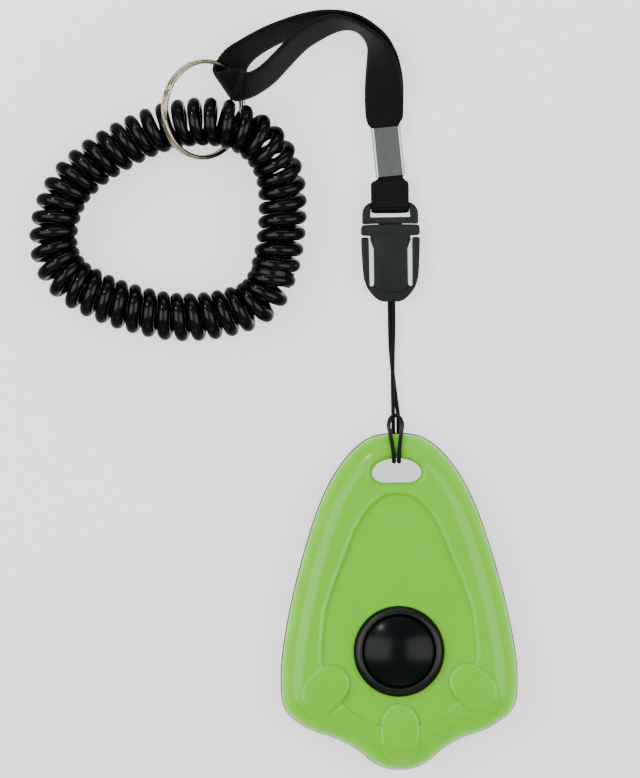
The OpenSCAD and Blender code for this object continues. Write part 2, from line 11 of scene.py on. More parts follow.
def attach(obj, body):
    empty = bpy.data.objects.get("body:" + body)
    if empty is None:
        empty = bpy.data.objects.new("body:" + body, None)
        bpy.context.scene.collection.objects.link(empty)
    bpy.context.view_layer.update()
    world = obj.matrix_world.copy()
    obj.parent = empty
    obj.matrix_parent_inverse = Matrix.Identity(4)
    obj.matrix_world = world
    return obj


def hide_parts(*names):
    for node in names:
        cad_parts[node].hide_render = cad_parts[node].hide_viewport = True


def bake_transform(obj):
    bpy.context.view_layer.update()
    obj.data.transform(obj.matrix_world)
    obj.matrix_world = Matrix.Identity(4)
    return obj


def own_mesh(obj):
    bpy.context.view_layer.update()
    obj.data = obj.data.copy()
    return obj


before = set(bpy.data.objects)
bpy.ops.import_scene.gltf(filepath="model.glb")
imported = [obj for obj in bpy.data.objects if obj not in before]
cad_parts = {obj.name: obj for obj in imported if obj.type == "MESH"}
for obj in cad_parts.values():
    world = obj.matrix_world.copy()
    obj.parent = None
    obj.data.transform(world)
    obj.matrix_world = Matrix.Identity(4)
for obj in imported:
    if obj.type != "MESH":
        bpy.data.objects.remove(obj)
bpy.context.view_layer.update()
MM = 0.001
BODY = "clicker"
STRAP = "strap"

# ---------------------------------------------------------------- sizes, in millimetres

# The case, as in the CAD model
SPLIT_Z = 6.0
CROWN_Z = 15.0
WALL = 1.6
REVEAL = 0.25
PANEL_DEPTH = 0.7
OUTLINE = [
    (0, 40.2), (6, 39.3), (11, 35.6), (15.4, 29.6), (19, 22), (22.3, 12), (25.4, 0.5),
    (27.6, -11), (28.2, -19), (27.2, -25.6), (22, -30), (14.5, -32.8), (9.6, -35.7),
    (6.9, -38), (3.6, -39.7), (0, -40.2),
]
PANEL = [
    (0, 26), (2.6, 25.7), (5, 24.3), (7.6, 21.6), (10.2, 17.2), (12.7, 11), (15.2, 4.8),
    (17.6, -2.4),
]
PANEL_R = 18.5
BUTTON_Y = -11.8
HOLE_R = 10.35
EYE_LOW, EYE_HIGH, EYE_W = 28.5, 34.4, 11.8
EYE_ROLL = 1.5
EYE_WALL = 1.4
# Each pad's middle, half sizes and turn in degrees
PADS = [(-17.9, -20.9, 6.7, 4.9, 46), (17.9, -20.9, 6.7, 4.9, -46), (0, -31.3, 4.8, 7, 0)]
PAD_RISE = 0.5
SHOULDER_W, SHOULDER_H = 5.8, 6.4
CROWN_T = 2.6
SHELL_GAP = 0.05
BASE_CORNER = 2.4
SCREWS = [(-19, -15), (19, -15), (0, 21.5)]
SCREW_R, SCREW_DEEP = 2.3, 1.5
CHANNEL_W, CHANNEL_H, CHANNEL_END = 6, 1.8, 45
ROOF_W, ROOF_T, ROOF_END = 8.4, 1.2, 39.0
SEAT_Z = CROWN_Z - PANEL_DEPTH

# The button and its collar
BUTTON_R, BUTTON_TOP = 8.8, 17.95
STEM_R, FLANGE_R = 1.5, 9.8
COLLAR_IN, COLLAR_OUT, COLLAR_NECK = 8.86, 10.9, 10.3
COLLAR_LOW, COLLAR_RISE = 9.2, 1.6

# Buckle
BUCKLE_X = -0.7
BUCKLE_LOW, BUCKLE_T, BUCKLE_MID = 0.2, 4.4, 2.4
SOCKET_HOLLOW = (1.0, 3.4)
TONGUE_T = 2.1
TONGUE_LOW = (BUCKLE_T - TONGUE_T) / 2
HANDS = {"left": -1, "right": 1}

# Lanyard routes, repeated from the CAD model
CORD_D = 1.0
CORD_ROUTE = [
    (-1.1, 73.6, 2.3), (-1.1, 71.4, 2.2), (-1.1, 67, 1.3), (-1, 61, 0.7), (-0.5, 54.4, 0.6),
    (0.1, 49, 1), (0.4, 46.6, 2), (0.6, 44.4, 2.7), (0.6, 42.4, 2), (0.6, 40.8, 0.9),
    (0.6, 39, 0.75), (0.6, 36.4, 0.75), (0.6, 34.6, 1), (0.6, 33.8, 2), (0.6, 33.6, 5),
    (0.6, 33.6, 10), (0.6, 33.6, 14), (0.6, 34.2, 15.5), (0.7, 36.2, 15.6), (0.9, 38.4, 14.5),
    (1.2, 40.2, 12.7), (1.4, 41.2, 10.4), (1.5, 41.6, 8), (1.5, 42.8, 6), (1, 44, 4.6),
    (-0.1, 44.6, 4.2),
    (-1.2, 44, 4.6), (-1.7, 42.8, 6), (-1.7, 41.6, 8), (-1.6, 41.2, 10.4), (-1.4, 40.2, 12.7),
    (-1.1, 38.4, 14.5), (-0.8, 36.2, 15.6), (-0.6, 34.2, 15.5), (-0.6, 33.6, 14),
    (-0.6, 33.6, 10), (-0.6, 33.6, 5), (-0.6, 33.8, 2), (-0.6, 34.6, 1), (-0.6, 36.4, 0.75),
    (-0.6, 39, 0.75), (-0.6, 40.8, 0.9), (-0.6, 42.4, 2), (-0.6, 44.4, 2.7),
    (-0.6, 46.6, 2.4), (-0.6, 49, 1.9), (-0.6, 54.4, 1.7), (-0.4, 61, 1.3), (-0.2, 67, 1.6),
    (-0.2, 71.4, 2.2), (-0.2, 73.6, 2.3),
]
STRAP_W, STRAP_T = 9.2, 1.1
RIB_PITCH, RIB_H = 0.74, 0.045
WARP_PITCH = 0.62
SELVEDGE = 0.03
FOLD_AT = Vector((-38.3, 125.9, 4.8))
FOLD_IN = Vector((-0.83, -0.557, 0))
FOLD_LEAN = math.radians(27)
FOLD_R = 2.45
FOLD_SKEW = 0.4
# x, y, z, tilt of the width in degrees, width; the fold's own end point is added to each
FRONT = [
    (-1.1, 109.5, 2.9, 0, 6), (-1.4, 113.4, 2.9, 0, 6), (-1.7, 115.6, 2.6, 0, 8.6),
    (-1.8, 118.6, 2.4, -3, 9.2), (-1.9, 122.4, 3.1, -12, 9.2), (-2.1, 126.4, 4.2, -28, 9.2),
    (-2.7, 130.8, 5.3, -48, 9.2), (-4, 134.4, 5.8, -66, 9.2), (-6.9, 137.4, 6.1, -78, 9.2),
    (-10.2, 138.8, 6.1, -74, 9.2), (-14, 138.8, 6.1, -64, 9.2), (-18, 137.2, 6.1, -60, 9.2),
    (-22, 134.6, 6.2, -60, 9.2), (-26, 130.6, 6.4, -60, 9.2), (-29.6, 127, 6.9, -58, 9.2),
    (-32.8, 124.9, 8.2, -55, 9.2), (-35.5, 124.2, 9, -44, 9.2),
]
REAR = [
    (-1.1, 109.5, 1.6, 0, 6), (-1.4, 113.4, 1.6, 0, 6), (-1.7, 115.6, 1.2, 0, 8.6),
    (-1.8, 118.6, 1.1, -3, 9.2), (-1.6, 122.4, 1.9, -12, 9.2), (-1.5, 126.5, 3.1, -28, 9.2),
    (-1.8, 131.1, 4.5, -48, 9.2), (-3, 135.1, 5.2, -66, 9.2), (-6.3, 138.6, 5.7, -76, 9.2),
    (-10, 139.9, 5.4, -71, 9.2), (-15, 140, 5.1, -64, 9.2), (-20, 139.2, 4.9, -61, 9.2),
    (-25, 137.7, 4.8, -60, 9.2), (-30, 135.6, 4.8, -58, 9.2), (-34.4, 133, 4.6, -54, 9.2),
    (-37.4, 130.4, 4.1, -42, 9.2),
]
TAB_W, TAB_TURN = 9.1, 1.75
NARROW_FROM, NARROW_OVER, NARROW_W = 100.2, 1.6, 6.0
CRIMP_AT = (-1, 108)
CRIMP_TILT = 5
CRIMP_W, CRIMP_L, CRIMP_LOW, CRIMP_HIGH = 7.2, 12.0, 0.25, 4.3
CRIMP_CORNER, CRIMP_SHEET = 0.75, 0.45
RING_AT = Vector((-45.2, 118.6, 9.3))
RING_LEAN, RING_TIP = 8, 37
RING_D = 24.2
RING_WIRE_W, RING_WIRE_H, RING_TURN_GAP = 0.55, 0.47, 0.98
COIL_D, COIL_WIRE = 11.8, 3.05
COIL_TURNS, COIL_PHASE = 45, 0.6
COIL = [
    (-28.2, 81.6, 5.9), (-27, 88, 5.9), (-26.5, 95, 6), (-27, 102, 6.8), (-29.4, 108, 8.4),
    (-34, 112.6, 10), (-40, 115.1, 10.1), (-46, 115.7, 8.9), (-52.6, 115, 7.2),
    (-59, 113, 6.2), (-66, 109.6, 5.9), (-72.6, 105.4, 5.9), (-78, 100, 5.9),
    (-81, 93, 5.9), (-81.4, 85, 5.9), (-78, 78.6, 5.9), (-71, 74.2, 5.9), (-63, 71.2, 5.9),
    (-54, 69.1, 5.9), (-46, 69, 5.9), (-39, 70.1, 5.9), (-33.4, 72.2, 5.9), (-30.2, 76, 5.9),
]
JOINT_AT = (-29.2, 78.8, 5.9)
WEB_HALF_L = 1.9

# ---------------------------------------------------------------- camera

# The view's middle and height at the level of the parts, and its turn
VIEW_AT = (-18.1, 51.2)
VIEW_H = 186.7
VIEW_ROLL = math.radians(0.735)
CAMERA_Z = 2500.0
LEVEL_Z = 7.0


def make_camera():
    """A long lens straight above the object."""
    data = bpy.data.cameras.new("camera")
    data.sensor_fit = "VERTICAL"
    data.sensor_height = 36.0
    data.lens = data.sensor_height * (CAMERA_Z - LEVEL_Z) / VIEW_H
    camera = bpy.data.objects.new("camera", data)
    bpy.context.scene.collection.objects.link(camera)
    camera.location = (VIEW_AT[0] * MM, VIEW_AT[1] * MM, CAMERA_Z * MM)
    camera.rotation_euler = (0, 0, -VIEW_ROLL)
    data.clip_start = 0.05
    bpy.context.scene.camera = camera


make_camera()

# ---------------------------------------------------------------- curves and meshes


def curve_point(a, b, c, d, t):
    """A point at t from 0 to 1 on the smooth curve from b to c."""
    return 0.5 * (2 * b + (c - a) * t + (2 * a - 5 * b + 4 * c - d) * t**2
                  + (3 * b - a - 3 * c + d) * t**3)


def open_curve(points, steps):
    """A smooth curve through all the points, with this many steps from each to the next."""
    p = np.array(points, float)
    last = len(p) - 1
    out = [
        curve_point(p[max(i - 1, 0)], p[i], p[i + 1], p[min(i + 2, last)], k / steps)
        for i in range(last)
        for k in range(steps)
    ]
    return np.array(out + [p[last]])


def closed_curve(points, steps):
    """The same for a loop, which ends just before its first point."""
    p = np.array(points, float)
    m = len(p)
    return np.array([
        curve_point(p[i - 1], p[i], p[(i + 1) % m], p[(i + 2) % m], k / steps)
        for i in range(m)
        for k in range(steps)
    ])


def steps_of(points):
    """The distance from each point of a route to the next."""
    return np.linalg.norm(np.diff(np.array(points)[:, :3], axis=0), axis=1)


def run_of(points):
    """How far along the route each point is."""
    return np.concatenate([[0], np.cumsum(steps_of(points))])


def even(points, count, closed=False):
    """The same route with evenly spaced points."""
    p = np.vstack([points, points[:1]]) if closed else np.array(points)
    run = run_of(p)
    at = np.linspace(0, run[-1], count + 1)[:-1] if closed else np.linspace(0, run[-1], count)
    return np.stack([np.interp(at, run, p[:, k]) for k in range(p.shape[1])], axis=1)


def mirrored(half):
    """A half outline and its mirror image, with its two ends on the axis."""
    return list(half) + [(-x, y) for x, y in reversed(half[1:-1])]


def ease(t):
    """A smooth step from 0 to 1."""
    t = np.clip(t, 0, 1)
    return t * t * (3 - 2 * t)


def unit(v):
    v = np.asarray(v, float)
    return v / np.linalg.norm(v, axis=-1, keepdims=True)


def level_right(along):
    """The level direction to the right of each direction."""
    return unit(np.column_stack([along[:, 1], -along[:, 0], np.zeros(len(along))]))


def level(points, z):
    """2-D points, all at one height."""
    return np.column_stack([points, np.full(len(points), z)])


def inset(line, d):
    """A closed clockwise outline moved inwards by d along its normals."""
    along = unit(np.roll(line, -1, axis=0) - np.roll(line, 1, axis=0))
    return line + d * np.stack([along[:, 1], -along[:, 0]], axis=1)


def new_object(name, vertices, faces, smooth=True, uvs=None):
    """A mesh object from millimetres; uvs has one pair for each vertex."""
    mesh = bpy.data.meshes.new(name)
    mesh.from_pydata([tuple(np.asarray(v, float) * MM) for v in vertices], [], faces)
    mesh.validate()
    if uvs is not None:
        layer = mesh.uv_layers.new(name="UVMap")
        corner = np.zeros(len(mesh.loops), dtype=np.int32)
        mesh.loops.foreach_get("vertex_index", corner)
        layer.data.foreach_set("uv", np.asarray(uvs, float)[corner].ravel())
    if smooth:
        mesh.polygons.foreach_set("use_smooth", [True] * len(mesh.polygons))
    obj = bpy.data.objects.new(name, mesh)
    bpy.context.scene.collection.objects.link(obj)
    return obj


def ring_faces(rows, count, closed=False):
    """Quads between rows of count points; closed joins the last row to the first."""
    faces = []
    for j in range(rows if closed else rows - 1):
        a, b = j * count, ((j + 1) % rows) * count
        for i in range(count):
            n = (i + 1) % count
            faces.append((a + i, a + n, b + n, b + i))
    return faces


def lofted(rings):
    """Vertices and faces through equal rings of points, with both ends capped."""
    m = len(rings[0])
    faces = ring_faces(len(rings), m)
    faces.append(tuple(reversed(range(m))))
    faces.append(tuple(range((len(rings) - 1) * m, len(rings) * m)))
    return np.vstack(rings), faces


def looped(rings):
    """Vertices and faces through equal rings of points, the last one joined to the first."""
    return np.vstack(rings), ring_faces(len(rings), len(rings[0]), closed=True)


def solid(name, shape, smooth=True, uvs=None):
    """A mesh object from a closed shape's vertices and faces, with its normals outwards."""
    obj = new_object(name, *shape, smooth=smooth, uvs=uvs)
    mesh = bmesh.new()
    mesh.from_mesh(obj.data)
    bmesh.ops.recalc_face_normals(mesh, faces=mesh.faces)
    mesh.to_mesh(obj.data)
    mesh.free()
    return obj


def apply_modifiers(obj):
    graph = bpy.context.evaluated_depsgraph_get()
    mesh = bpy.data.meshes.new_from_object(obj.evaluated_get(graph))
    obj.modifiers.clear()
    obj.data = mesh


def cut(obj, cutters):
    """Takes the cutters' volumes out of obj and deletes them."""
    for tool in cutters:
        change = obj.modifiers.new("cut", "BOOLEAN")
        change.operation = "DIFFERENCE"
        change.solver = "EXACT"
        change.object = tool
        apply_modifiers(obj)
        bpy.data.objects.remove(tool, do_unlink=True)


def smooth_by_angle(obj, degrees):
    """Smooth shading that keeps edges sharper than the given angle."""
    mesh = bmesh.new()
    mesh.from_mesh(obj.data)
    limit = math.radians(degrees)
    for face in mesh.faces:
        face.smooth = True
    for edge in mesh.edges:
        if len(edge.link_faces) == 2 and edge.calc_face_angle(0) > limit:
            edge.smooth = False
    mesh.to_mesh(obj.data)
    mesh.free()


def bevel_edges(obj, width, segments=3):
    """Rounds the sharp edges by width millimetres."""
    bevel = obj.modifiers.new("bevel", "BEVEL")
    bevel.width = width * MM
    bevel.segments = segments
    bevel.limit_method = "ANGLE"
    bevel.angle_limit = math.radians(30)
    bevel.harden_normals = False
    apply_modifiers(obj)
    smooth_by_angle(obj, 40)


def prism(name, points, low, high):
    """A plain extrusion of a 2-D outline between two heights."""
    return solid(name, lofted([level(points, low), level(points, high)]), smooth=False)


def disc_points(x, y, r, count=48):
    a = np.linspace(0, 2 * math.pi, count, endpoint=False)
    return np.column_stack([x + r * np.cos(a), y + r * np.sin(a)])


def arc(cx, cy, r, start, stop, count):
    """Points on an arc between two angles in degrees."""
    return [(cx + r * math.cos(math.radians(a)), cy + r * math.sin(math.radians(a)))
            for a in np.linspace(start, stop, count)]


def turned(profile, count):
    """Rings about the button's axis, one for each radius and height of the profile."""
    return [level(disc_points(0, BUTTON_Y, r, count), z) for r, z in profile]


def joined(name, objects):
    """Objects merged into the first one, which takes the name."""
    target = objects[0]
    mesh = bmesh.new()
    for obj in objects:
        mesh.from_mesh(obj.data)
    mesh.to_mesh(target.data)
    mesh.free()
    for obj in objects[1:]:
        bpy.data.objects.remove(obj, do_unlink=True)
    target.name = name
    return target


def sides_along(path):
    """Two directions square to a path at each of its points, without twist."""
    along = unit(np.gradient(path, axis=0))
    side = np.zeros_like(path)
    first = np.cross((0.35, 0.1, 1.0), along[0])
    side[0] = first / np.linalg.norm(first)
    for i in range(1, len(path)):
        s = side[i - 1] - along[i] * np.dot(side[i - 1], along[i])
        side[i] = s / np.linalg.norm(s)
    return side, np.cross(along, side)


def tube(name, path, radius, sides):
    """A round tube along a path; its UVs are the share of the way round and the run in mm."""
    side, up = sides_along(path)
    a = np.linspace(0, 2 * math.pi, sides, endpoint=False)
    ring = np.cos(a)[None, :, None] * side[:, None, :] + np.sin(a)[None, :, None] * up[:, None, :]
    uvs = np.column_stack([
        np.tile(np.arange(sides) / sides, len(path)),
        np.repeat(run_of(path), sides),
    ])
    return solid(name, lofted(path[:, None, :] + radius * ring), uvs=uvs)


# ---------------------------------------------------------------- materials

# A plastic's gloss falls between these values of Facing, which is 0 face on and 1 edge on
GLOSS_FALL = (0.08, 0.33)
MOTTLE = 120
CLOTH_GLOSS = 0.2
BRAID_PITCH, BRAID_STRANDS = 0.9, 4


class Nodes:
    """A small helper that builds one procedural material."""

    def __init__(self, name):
        self.material = bpy.data.materials.new(name)
        self.material.use_nodes = True
        self.tree = self.material.node_tree
        self.shader = self.tree.nodes["Principled BSDF"]

    def add(self, kind, **values):
        node = self.tree.nodes.new(kind)
        for key, value in values.items():
            if key in node.inputs:
                node.inputs[key].default_value = value
            else:
                setattr(node, key, value)
        return node

    def link(self, source, target):
        self.tree.links.new(source, target)

    def where(self, kind="Object"):
        return self.add("ShaderNodeTexCoord").outputs[kind]

    def noise(self, scale, detail, rough=0.5, source=None):
        node = self.add("ShaderNodeTexNoise", Scale=scale, Detail=detail, Roughness=rough)
        self.link(source or self.where(), node.inputs["Vector"])
        return node.outputs["Fac"]

    def ramp(self, fac, stops):
        node = self.add("ShaderNodeValToRGB")
        ramp = node.color_ramp
        while len(ramp.elements) < len(stops):
            ramp.elements.new(0.5)
        for element, (place, colour) in zip(ramp.elements, stops):
            element.position = place
            element.color = (*colour, 1)
        self.link(fac, node.inputs["Fac"])
        return node.outputs["Color"]

    def scaled(self, value, low, high, start=0.0, stop=1.0):
        """The value's stretch from start to stop, mapped to low and high."""
        node = self.add("ShaderNodeMapRange")
        limits = {"From Min": start, "From Max": stop, "To Min": low, "To Max": high}
        for socket, limit in limits.items():
            node.inputs[socket].default_value = limit
        self.link(value, node.inputs["Value"])
        return node.outputs["Result"]

    def maths(self, operation, a, b=None):
        node = self.add("ShaderNodeMath", operation=operation)
        for socket, value in zip(node.inputs, (a, b)):
            if isinstance(value, (int, float)):
                socket.default_value = value
            elif value is not None:
                self.link(value, socket)
        return node.outputs["Value"]

    def bump(self, height, distance):
        node = self.add("ShaderNodeBump", Distance=distance * MM, Strength=1.0)
        self.link(height, node.inputs["Height"])
        self.link(node.outputs["Normal"], self.shader.inputs["Normal"])

    def colour(self, output):
        self.link(output, self.shader.inputs["Base Color"])

    def roughness(self, output):
        self.link(output, self.shader.inputs["Roughness"])

    def set(self, **values):
        """Constant values on the shader's own sockets, with _ for a space in their names."""
        for key, value in values.items():
            self.shader.inputs[key.replace("_", " ")].default_value = value

    def across_and_along(self):
        """The mesh's own UVs as two values."""
        split = self.add("ShaderNodeSeparateXYZ")
        self.link(self.where("UV"), split.inputs["Vector"])
        return split.outputs["X"], split.outputs["Y"]


def plastic(name, dark, light, rough, gloss=0.5, edge=0.12, grain=900, depth=0.01):
    """Moulded plastic: a faint mottle, fine handling marks, and less gloss at its outline."""
    n = Nodes(name)
    n.colour(n.ramp(n.noise(MOTTLE, 4), [(0.3, dark), (0.7, light)]))
    n.roughness(n.scaled(n.noise(MOTTLE * 5, 5, 0.65), *rough))
    n.bump(n.noise(grain, 2), depth)
    facing = n.add("ShaderNodeLayerWeight", Blend=0.5).outputs["Facing"]
    n.link(n.scaled(facing, gloss, edge, *GLOSS_FALL), n.shader.inputs["Specular IOR Level"])
    return n.material


def steel(name, dark, light, rough, stretch, grain=0.004):
    """Brushed or drawn metal, with its grain along the least stretched axis."""
    n = Nodes(name)
    mapping = n.add("ShaderNodeMapping", Scale=stretch)
    n.link(n.where(), mapping.inputs["Vector"])
    lines = n.noise(1.0, 4, 0.6, mapping.outputs["Vector"])
    n.colour(n.ramp(lines, [(0.3, dark), (0.7, light)]))
    n.roughness(n.scaled(lines, *rough))
    n.bump(lines, grain)
    n.set(Metallic=1.0)
    return n.material


def webbing_material():
    """Ribbed polyester webbing: cross ribs and a fine weave on the mesh's own UVs, in mm, with
    painted shade in its grooves and a painted highlight on its ribs.
    """
    n = Nodes("webbing")
    across, along = n.across_and_along()
    warp = n.maths("SINE", n.maths("MULTIPLY", across, 2 * math.pi / WARP_PITCH))
    weft = n.maths("SINE", n.maths("MULTIPLY", along, 2 * math.pi / RIB_PITCH))
    weave = n.maths("MULTIPLY", warp, weft)
    fuzz = n.noise(2600, 3)
    height = n.maths("ADD", n.maths("MULTIPLY", weave, 0.5), n.maths("MULTIPLY", fuzz, 0.6))
    height = n.maths("ADD", height, n.maths("MULTIPLY", weft, 0.35))
    # The colour follows the weave's height: painted shade in the grooves between ribs and threads
    # and a painted highlight on the rib tops, plus random fibre tone from the fuzz noise.
    n.colour(n.ramp(n.scaled(height, 0.1, 0.9), [
        (0.2, (0.0006, 0.001, 0.001)),
        (0.65, (0.002, 0.0034, 0.0031)),
        (1.0, (0.008, 0.0105, 0.0098)),
    ]))
    n.roughness(n.scaled(fuzz, 0.6, 0.85))
    n.bump(height, 0.09)
    n.set(Specular_IOR_Level=CLOTH_GLOSS)
    return n.material


def cord_material():
    """Tightly braided thin cord: two crossing sets of strands on the mesh's own UVs, with painted
    shade between the strands and a painted highlight on their crowns.
    """
    n = Nodes("cord")
    across, along = n.across_and_along()
    around = n.maths("MULTIPLY", across, 2 * math.pi * BRAID_STRANDS)
    along = n.maths("MULTIPLY", along, 2 * math.pi / BRAID_PITCH)
    one = n.maths("SINE", n.maths("ADD", around, along))
    two = n.maths("SINE", n.maths("SUBTRACT", around, along))
    height = n.maths("MAXIMUM", one, two)
    # The colour follows the braid's height: painted shade between the strands, painted highlight
    # on their crowns.
    n.colour(n.ramp(n.scaled(height, 0.0, 1.0), [
        (0.2, (0.001, 0.001, 0.001)),
        (0.9, (0.006, 0.006, 0.006)),
    ]))
    n.roughness(n.scaled(n.noise(3000, 2), 0.55, 0.75))
    n.bump(height, 0.06)
    n.set(Specular_IOR_Level=CLOTH_GLOSS)
    return n.material


GREEN = plastic("green_plastic", (0.185, 0.70, 0.013), (0.20, 0.735, 0.016), (0.2, 0.26),
                gloss=0.5, edge=0.08, grain=500, depth=0.005)
CASE_BLACK = plastic("case_black", (0.003, 0.0035, 0.0035), (0.005, 0.0055, 0.005), (0.25, 0.35),
                     gloss=0.35, edge=0.04)
COLLAR_BLACK = plastic("collar_black", (0.002, 0.0025, 0.002), (0.004, 0.005, 0.003),
                       (0.3, 0.38), gloss=0.4, grain=700)
BUTTON_BLACK = plastic("button_black", (0.0008, 0.0030, 0.0036), (0.0014, 0.0042, 0.0050),
                       (0.22, 0.26), gloss=0.17, grain=400, depth=0.004)
BUCKLE = plastic("buckle_plastic", (0.004, 0.0075, 0.0078), (0.0065, 0.011, 0.0115), (0.42, 0.55),
                 gloss=0.3, grain=2500, depth=0.02)
PRONG = plastic("prong_plastic", (0.002, 0.003, 0.003), (0.004, 0.005, 0.005), (0.45, 0.55),
                grain=2500)
COIL_PVC = plastic("coil_pvc", (0.0008, 0.0018, 0.0019), (0.0014, 0.0028, 0.003), (0.14, 0.2),
                   gloss=0.28, edge=0.02, grain=350, depth=0.008)
WEBBING = webbing_material()
CORD = cord_material()
CRIMP_STEEL = steel("crimp_steel", (0.40, 0.455, 0.44), (0.46, 0.52, 0.50), (0.14, 0.18),
                    (2500, 120, 2500))
RING_STEEL = steel("ring_steel", (0.26, 0.21, 0.135), (0.55, 0.47, 0.34), (0.12, 0.2),
                   (900, 900, 900), 0.002)
SCREW_STEEL = steel("screw_steel", (0.4, 0.4, 0.4), (0.6, 0.6, 0.6), (0.3, 0.45),
                    (900, 900, 900))
SPRING_STEEL = steel("spring_steel", (0.5, 0.5, 0.5), (0.7, 0.7, 0.7), (0.2, 0.35),
                     (2500, 150, 2500))


def wear(obj, material):
    """One material for the whole piece, and its colour slot."""
    obj.data.materials.clear()
    obj.data.materials.append(material)


# ---------------------------------------------------------------- cords and lanyard


def make_cord():
    """The clicker's own thin cord: from the buckle through the eye and back, with its knot."""
    path = even(open_curve(CORD_ROUTE, 8), 420)
    obj = tube("thin_cord", path, CORD_D / 2, 16)
    wear(obj, CORD)
    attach(obj, BODY)
    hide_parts("cord_loop")


def ribbon_frame(rows):
    """Rows of ribbon data to points, the ways across and out of the ribbon, and widths."""
    p = rows[:, :3]
    along = unit(np.gradient(p, axis=0))
    tilt = np.radians(rows[:, 3])[:, None]
    across = unit(np.cos(tilt) * level_right(along) - np.sin(tilt) * np.array([0, 0, 1.0]))
    return p, across, unit(np.cross(across, along)), rows[:, 4]


def ribbon_section():
    """A strip's section: place across from -1 to 1, face, and share of the full thickness."""
    columns = 12
    upper = []
    for k in range(columns + 1):
        x = -1 + 2 * k / columns
        upper.append((x, 1.0, 1.0 - 0.55 * abs(x) ** 10))
    return upper + [(-x, -1.0, s) for x, _, s in upper]


def ribbon_mesh(name, p, across, face, width):
    """A webbing strip: cross ribs, woven selvedges, and UVs in millimetres."""
    run = run_of(p)
    ridge = RIB_H * np.cos(2 * math.pi * run / RIB_PITCH)
    wobble = SELVEDGE * np.cos(2 * math.pi * run / RIB_PITCH + 1.0)
    section = ribbon_section()
    rings, uvs = [], []
    for i in range(len(p)):
        ring = []
        for x, side, share in section:
            h = (STRAP_T / 2 + ridge[i]) * share
            w = x * (width[i] / 2 + (wobble[i] if abs(x) > 0.99 else 0))
            ring.append(p[i] + w * across[i] + side * h * face[i])
            uvs.append((w + (0 if side > 0 else WARP_PITCH / 2), run[i]))
        rings.append(np.array(ring))
    return solid(name, lofted(rings), uvs=np.array(uvs))


def fold_vectors():
    """The fold's own line, and the way up from it, both leaning by FOLD_LEAN."""
    c, s = math.cos(FOLD_LEAN), math.sin(FOLD_LEAN)
    line = Vector((FOLD_IN.y * c, -FOLD_IN.x * c, s))
    up = Vector((-FOLD_IN.y * s, FOLD_IN.x * s, c))
    return line, up


def make_strand(name, node, route, above):
    """One strand of webbing; the upper one also makes the half turn round the ring."""
    line, up = fold_vectors()
    side = 1 if above else -1
    end = FOLD_AT + side * (FOLD_R * up - FOLD_SKEW * line)
    rows = open_curve(route + [(*end, -math.degrees(FOLD_LEAN), STRAP_W)], 10)
    p, across, face, width = ribbon_frame(even(rows, 560))
    if above:
        turn = [math.radians(a) for a in range(84, -91, -4)]
        out = [math.cos(a) * FOLD_IN + math.sin(a) * up for a in turn]
        slide = [FOLD_SKEW * math.sin(a) * line for a in turn]
        p = np.vstack([p, [FOLD_AT + FOLD_R * o - d for o, d in zip(out, slide)]])
        across = np.vstack([across, [line] * len(out)])
        face = np.vstack([face, out])
        width = np.concatenate([width, [STRAP_W] * len(out)])
    obj = ribbon_mesh(name, p, across, face, width)
    wear(obj, WEBBING)
    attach(obj, STRAP)
    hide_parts(node)


def make_tab():
    """The webbing's folded end, round the buckle's bar and narrowed into the crimp."""
    mid = BUCKLE_LOW + BUCKLE_T / 2
    low, high = mid - TAB_TURN, mid + TAB_TURN
    fold = open_curve([
        (106, 1.45), (102.6, 1.4), (99.6, 0.9), (96, low), (94.9, low + 0.1), (94, low + 0.8),
        (93.8, mid), (94, high - 0.8), (94.9, high - 0.1), (96, high), (99.6, 3.6),
        (102.6, 2.95), (106, 2.9),
    ], 10)
    y, z = even(fold, 260).T
    near = ease((y - NARROW_FROM) / NARROW_OVER)
    in_crimp = CRIMP_AT[0] - (y - CRIMP_AT[1]) * math.tan(math.radians(CRIMP_TILT))
    p = np.column_stack([BUCKLE_X + (in_crimp - BUCKLE_X) * near, y, z])
    across = np.tile([1.0, 0, 0], (len(p), 1))
    face = unit(np.cross(across, unit(np.gradient(p, axis=0))))
    width = TAB_W + (NARROW_W - TAB_W) * near
    obj = ribbon_mesh("strap_tab_webbing", p, across, face, width)
    wear(obj, WEBBING)
    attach(obj, STRAP)
    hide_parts("strap_tab")
    return obj


def crimp_section():
    """The sleeve's outer and inner outlines, as x and z."""
    half_w, half_h = CRIMP_W / 2, (CRIMP_HIGH - CRIMP_LOW) / 2
    mid = (CRIMP_LOW + CRIMP_HIGH) / 2
    outer, inner = [], []
    for side, level_side, start in ((1, 1, 0), (-1, 1, 90), (-1, -1, 180), (1, -1, 270)):
        for a in range(0, 91, 10):
            t = math.radians(start + a)
            for ring, r, drop in ((outer, CRIMP_CORNER, 0),
                                  (inner, CRIMP_CORNER - CRIMP_SHEET * 0.8, CRIMP_SHEET)):
                ring.append((side * (half_w - drop - r) + r * math.cos(t),
                             mid + level_side * (half_h - drop - r) + r * math.sin(t)))
    return outer, inner


def make_crimp():
    """A sleeve of bent sheet with rounded rims, round both strands and the tab's ends."""
    outer, inner = crimp_section()
    end, rim_share = CRIMP_L / 2, 0.9988
    rings = []
    for line, y, share in (
        (inner, end, 1), (outer, end - 0.12, rim_share), (outer, end - 0.5, 1),
        (outer, 0.5 - end, 1), (outer, 0.12 - end, rim_share), (inner, -end, 1),
    ):
        rings.append(np.array([(x * share, y, z) for x, z in line]))
    obj = solid("steel_crimp", looped(rings))
    obj.data.transform(Matrix.Translation((CRIMP_AT[0] * MM, CRIMP_AT[1] * MM, 0))
                       @ Matrix.Rotation(math.radians(CRIMP_TILT), 4, "Z"))
    smooth_by_angle(obj, 40)
    wear(obj, CRIMP_STEEL)
    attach(obj, STRAP)
    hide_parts("strap_crimp")
    return obj


def flattened(c):
    """A cosine or sine pushed outwards, which turns a round section into a squarer one."""
    return math.copysign(abs(c) ** 0.7, c)


